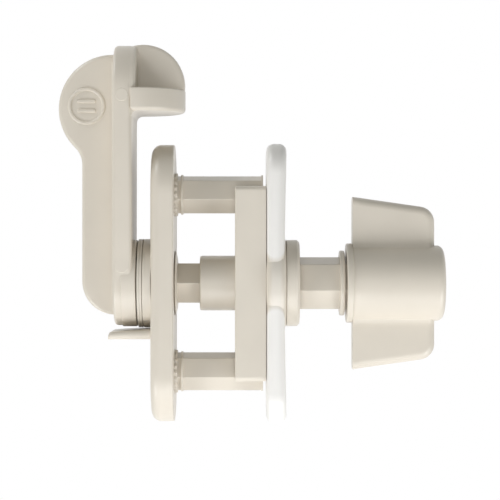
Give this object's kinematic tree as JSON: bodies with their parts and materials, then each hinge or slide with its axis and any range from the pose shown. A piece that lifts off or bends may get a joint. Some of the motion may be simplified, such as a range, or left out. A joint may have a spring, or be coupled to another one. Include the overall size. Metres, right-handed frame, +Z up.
{
  "type": "gate latch",
  "caption": "Two-sided through-mounted gate latch: a hooked lever on one side is turned by a winged knob on the other, and two plates clamp the gate between them.",
  "frame": {"origin": "on the spindle axis, in the gate-side face of the lever-side plate", "axes": "+X along the spindle toward the knob, +Z up along the lever arm, +Y across"},
  "size_m": [0.0967, 0.025, 0.0948],
  "materials": {
    "lever_plastic": "satin",
    "plate_plastic": "satin",
    "knob_plastic": "satin",
    "bush_plastic": "satin",
    "coated_steel": "satin",
    "steel": "satin",
    "brass": "satin"
  },
  "bodies": {
    "lever_side": {"lever_side_plate": "plate_plastic", "lever_bush": "bush_plastic", "thrust_washer": "bush_plastic", "friction_washer": "bush_plastic", "stop_lug": "coated_steel", "upper_post": "coated_steel", "lower_post": "coated_steel", "upper_toothed_washer": "coated_steel", "lower_toothed_washer": "coated_steel", "upper_post_insert": "brass", "lower_post_insert": "brass"},
    "spindle": {"hook_lever": "lever_plastic", "lever_pin": "steel", "pin_plugs": "lever_plastic", "square_spindle": "coated_steel", "spindle_retainer": "coated_steel", "drive_sleeve": "bush_plastic", "neck_ring": "bush_plastic", "knob": "knob_plastic", "knob_washer": "steel", "knob_screw": "steel", "knob_cap": "knob_plastic"},
    "knob_side": {"knob_side_plate": "plate_plastic", "spacer_block": "plate_plastic", "knob_bush": "bush_plastic", "bush_snap_ring": "steel", "upper_clamp_washer": "steel", "lower_clamp_washer": "steel"},
    "upper_screw": {"upper_clamp_screw": "steel"},
    "lower_screw": {"lower_clamp_screw": "steel"}
  },
  "joints": [
    {"name": "lever_turn", "type": "hinge", "parent": "lever_side", "child": "spindle", "pos_m": [0, 0, 0], "axis": [1, 0, 0], "range_deg": [-90, 90]},
    {"name": "plate_slide", "type": "slide", "parent": "lever_side", "child": "knob_side", "axis": [1, 0, 0], "range_m": [0, 0.009]},
    {"name": "upper_screw_turn", "type": "hinge", "parent": "knob_side", "child": "upper_screw", "pos_m": [0.02, 0, 0.02225], "axis": [1, 0, 0], "range_deg": [0, 4630]},
    {"name": "lower_screw_turn", "type": "hinge", "parent": "knob_side", "child": "lower_screw", "pos_m": [0.02, 0, -0.02225], "axis": [1, 0, 0], "range_deg": [0, 4630]}
  ],
  "couplings": [
    {"joint": "upper_screw_turn", "follows": "plate_slide", "rad_per_m": 8976},
    {"joint": "lower_screw_turn", "follows": "plate_slide", "rad_per_m": 8976}
  ]
}
